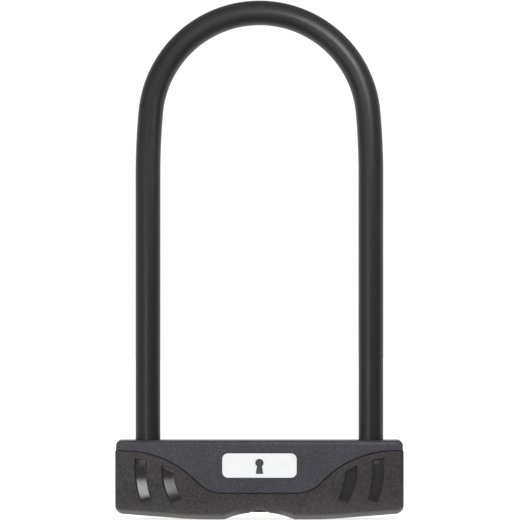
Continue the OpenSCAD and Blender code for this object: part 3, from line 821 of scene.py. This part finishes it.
# ---------------------------------------------------------------- shackle coat
def shackle_path():
    """The centre line from the foot of the right leg over the crown to the left: points,
    tangents, and the share of the crown's thinning."""
    a = math.acos((SHOULDER_R - LEG_X) / (SHOULDER_R - CROWN_R))
    leg_top = CROWN_Z - (SHOULDER_R - CROWN_R) * math.sin(a)
    path = []
    leg = np.linspace(COAT_END_Z + 3, leg_top - 2, 24)
    for z in (COAT_END_Z, COAT_END_Z + 0.12, COAT_END_Z + 0.3, *leg):
        path.append((LEG_X, z, 0, 1, 0))
    for t in np.linspace(0, a, 14):
        x, z = SHOULDER_R * math.cos(t), SHOULDER_R * math.sin(t)
        path.append((LEG_X - SHOULDER_R + x, leg_top + z, -math.sin(t), math.cos(t), t / a))
    for t in np.linspace(a, math.pi / 2, 56)[1:]:
        x, z = CROWN_R * math.cos(t), CROWN_R * math.sin(t)
        path.append((x, CROWN_Z + z, -math.sin(t), math.cos(t), 1))
    path = np.array(path)
    p, t, c = path[:, :2], path[:, 2:4], path[:, 4]
    p2, t2, c2 = p[-2::-1] * [-1, 1], t[-2::-1] * [1, -1], c[-2::-1]
    return np.concatenate([p, p2]), np.concatenate([t, t2]), np.concatenate([c, c2])


def coat():
    """The vinyl tube round the bar: an outer and an inner skin, joined at both ends."""
    p, t, crown = shackle_path()
    n, rings = 72, len(p)
    ang = 2 * math.pi * np.arange(n) / n
    verts = []
    end_cut = np.zeros(rings)
    end_cut[[0, -1]], end_cut[[1, -2]] = COAT_END_CUT
    for r_of in (COAT_R - CROWN_THIN * crown - end_cut, np.full(rings, COAT_BORE)):
        for i in range(rings):
            side = np.array([t[i][1], -t[i][0]])
            u = np.cos(ang) * r_of[i]
            ring = [p[i][0] + side[0] * u, np.sin(ang) * r_of[i], p[i][1] + side[1] * u]
            verts.append(np.stack(ring, 1))
    v = np.concatenate(verts) * MM
    faces = []
    for layer in (0, 1):
        base = layer * rings * n
        for i in range(rings - 1):
            for k in range(n):
                a, b = base + i * n + k, base + i * n + (k + 1) % n
                q = (a, b, b + n, a + n)
                faces.append(q if layer == 0 else q[::-1])
    inner = rings * n
    for i, flip in ((0, True), (rings - 1, False)):
        for k in range(n):
            a, b = i * n + k, i * n + (k + 1) % n
            q = (a, b, b + inner, a + inner)
            faces.append(q[::-1] if flip else q)
    o = mesh_object("shackle_coat", v, faces)
    shade(o, 50)
    return o


sleeve = coat()
sleeve.data.materials.append(VINYL)
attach(sleeve, "shackle")
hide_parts("shackle_sleeve")


# ---------------------------------------------------------------- stage
def stage_mat(name, pale, glow, dim=None):
    """dim is (pale, glow, from y, to y): both fall to these in front of the object."""
    m = Mat(name)
    cloud = m.span(m.noise(3, 2, 0.5), 0.3, 0.7)
    tone = m.mix(cloud, (pale * 0.99,) * 3, (pale,) * 3)
    m.set(Roughness=0.9, Emission_Color=(1, 1, 1, 1), Emission_Strength=glow)
    if dim:
        ahead = m.span(m.axis(m.pos, "Y"), dim[2], dim[3])
        tone = m.mix(ahead, tone, (dim[0],) * 3)
        m.link(m.span(ahead, 0, 1, glow, dim[1]), "Emission Strength")
    m.link(tone, "Base Color")
    return m.m


# in metres, as is the rest of the stage
STUDIO_R, STUDIO_TOP, COVE_R = 8.0, 5.0, 1.5


def sweep(name, profile, start, end, n):
    """A sheet swept about the upright axis between two angles in degrees: profile is (r, z)."""
    v, f = [], []
    m = len(profile)
    for i in range(n + 1):
        a = math.radians(start + (end - start) * i / n)
        v += [(r * math.cos(a), r * math.sin(a), z) for r, z in profile]
    for i in range(n):
        f += [(i * m + k, (i + 1) * m + k, (i + 1) * m + k + 1, i * m + k + 1) for k in range(m - 1)]
    o = mesh_object(name, v, f)
    shade(o, 60)
    return o


def disc(z):
    return [(0.001, z), (0.5, z), (2, z), (STUDIO_R - COVE_R, z)]


wall = [(STUDIO_R - COVE_R + COVE_R * math.sin(t), COVE_R - COVE_R * math.cos(t))
        for t in np.linspace(0, math.pi / 2, 16)] + [(STUDIO_R, STUDIO_TOP)]
floor = sweep("studio_floor", disc(0), 0, 360, 72)
floor.data.materials.append(stage_mat("floor_pale", 0.9, 0.68))
# the camera sees the plain floor, and a bounce sheet just under it, dim in front, lights the object
bounce = sweep("studio_bounce", disc(-0.001), 0, 360, 72)
bounce.data.materials.append(stage_mat("bounce_pale", 0.9, 0.68, (0.30, 0.02, -0.02, -0.08)))
bounce.visible_camera = False
wall_mat = stage_mat("wall_pale", 0.5, 0.72)
back = sweep("studio_back", wall, 30, 150, 24)
front = sweep("studio_front", wall, 150, 390, 48)
for o in (back, front):
    o.data.materials.append(wall_mat)
# the wall on the camera's side only closes the picture in other views: like the floor, it throws
# no light
for o in (front, floor):
    o.visible_diffuse = o.visible_glossy = o.visible_transmission = o.visible_shadow = False

low, high = (Vector(v) for v in CAD_BOX)
CAMERA_AWAY, CAMERA_LENS = 4.0, 501.0  # far off, as the photograph shows almost no perspective
CAMERA_RIGHT, CAMERA_DOWN = 0.0003, 0.00015  # off the object's middle, to fit the photograph
cam = bpy.data.cameras.new("camera")
cam.lens = CAMERA_LENS
cam.sensor_width = 36.0
cam.clip_end = 50
camera = bpy.data.objects.new("camera", cam)
camera.location = (CAMERA_RIGHT, -CAMERA_AWAY, (low + high).z / 2 - CAMERA_DOWN)
camera.rotation_euler = (math.pi / 2, 0, 0)
bpy.context.scene.collection.objects.link(camera)
bpy.context.scene.camera = camera


def softbox(name, at, target, size, power):
    """An area light of this size in metres and power in watts, aimed at target."""
    data = bpy.data.lights.new(name, "AREA")
    data.shape = "RECTANGLE"
    data.size, data.size_y = size
    data.energy = power
    o = bpy.data.objects.new(name, data)
    o.location = at
    o.rotation_euler = (Vector(target) - Vector(at)).to_track_quat("-Z", "Y").to_euler()
    o.visible_camera = False
    bpy.context.scene.collection.objects.link(o)


HEART = (0, 0, 0.12)


def around(azimuth, elevation, distance):
    """The place at this distance from HEART. Azimuth 0 is the camera's, and minus is left."""
    a, e = math.radians(azimuth), math.radians(elevation)
    return (HEART[0] + distance * math.sin(a) * math.cos(e),
            HEART[1] - distance * math.cos(a) * math.cos(e), HEART[2] + distance * math.sin(e))


softbox("sky", around(0, 62, 1.5), HEART, (1.8, 1.0), 2)
softbox("front_fill", around(8, 30, 1.5), HEART, (1.6, 0.9), 5.5)
softbox("fill_left", around(-50, 0, 1.5), HEART, (1.4, 1.2), 3.2)
softbox("key_near", (-0.27, -0.66, 0.040), (0, 0, 0.05), (0.21, 0.15), 0.70)
softbox("crown_card", (0.10, -0.20, 0.31), (0.035, 0, 0.27), (0.08, 0.08), 0.32)
softbox("grip_card", (-0.23, -1.0, 0.062), (-0.06, 0, 0.02), (0.13, 0.10), 0.07)

world = bpy.data.worlds.new("studio")
bpy.context.scene.world = world
world.use_nodes = True
backdrop = world.node_tree.nodes["Background"]
backdrop.inputs["Color"].default_value = (1, 1, 1, 1)
backdrop.inputs["Strength"].default_value = 0.48
bpy.context.scene.view_settings.view_transform = "Standard"
